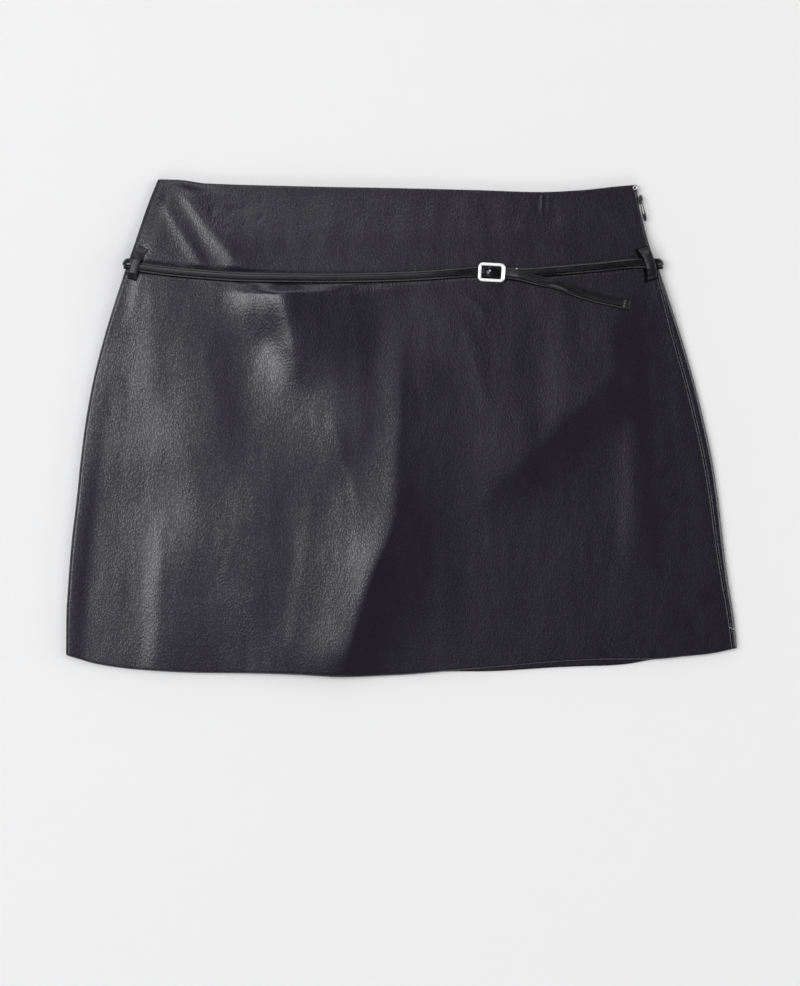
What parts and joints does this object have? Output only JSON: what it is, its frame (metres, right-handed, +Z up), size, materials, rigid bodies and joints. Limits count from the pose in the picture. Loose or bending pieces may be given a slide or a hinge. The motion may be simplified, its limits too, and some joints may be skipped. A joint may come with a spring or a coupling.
{
  "type": "skort",
  "caption": "Short A-line skort in black faux leather, laid flat, with inner shorts, side zip, belt loops and a thin buckled belt.",
  "frame": {"origin": "middle of the garment's bounding box, on the surface it lies on", "axes": "+X across the garment towards the side with the zip, +Y from the hem to the waist, +Z up from the surface; the front faces +Z"},
  "size_m": [0.5108, 0.3785, 0.0139],
  "materials": {
    "faux_leather": "fine grain, semi-matt sheen",
    "belt_leather": "smooth, semi-gloss",
    "jersey": "matt knit",
    "zip_tape": "matt woven",
    "satin_silver": "satin",
    "black_metal": "semi-gloss enamel"
  },
  "bodies": {
    "root": {"front_panel": "faux_leather", "back_panel": "faux_leather", "shorts_front": "jersey", "shorts_back": "jersey", "belt_loop_left": "belt_leather", "belt_loop_right": "belt_leather", "belt_strap": "belt_leather", "buckle_frame": "satin_silver", "buckle_prong": "satin_silver", "belt_rivet": "satin_silver", "zip_tape": "zip_tape", "zip_slider": "black_metal", "waist_hook": "satin_silver"},
    "pull": {"zip_pull": "black_metal"}
  },
  "joints": [
    {"name": "zip_pull", "type": "hinge", "parent": "root", "child": "pull", "pos_m": [0.18169, 0.174, 0.0055], "axis": [0, 0, 1], "range_deg": [0, 150]}
  ]
}
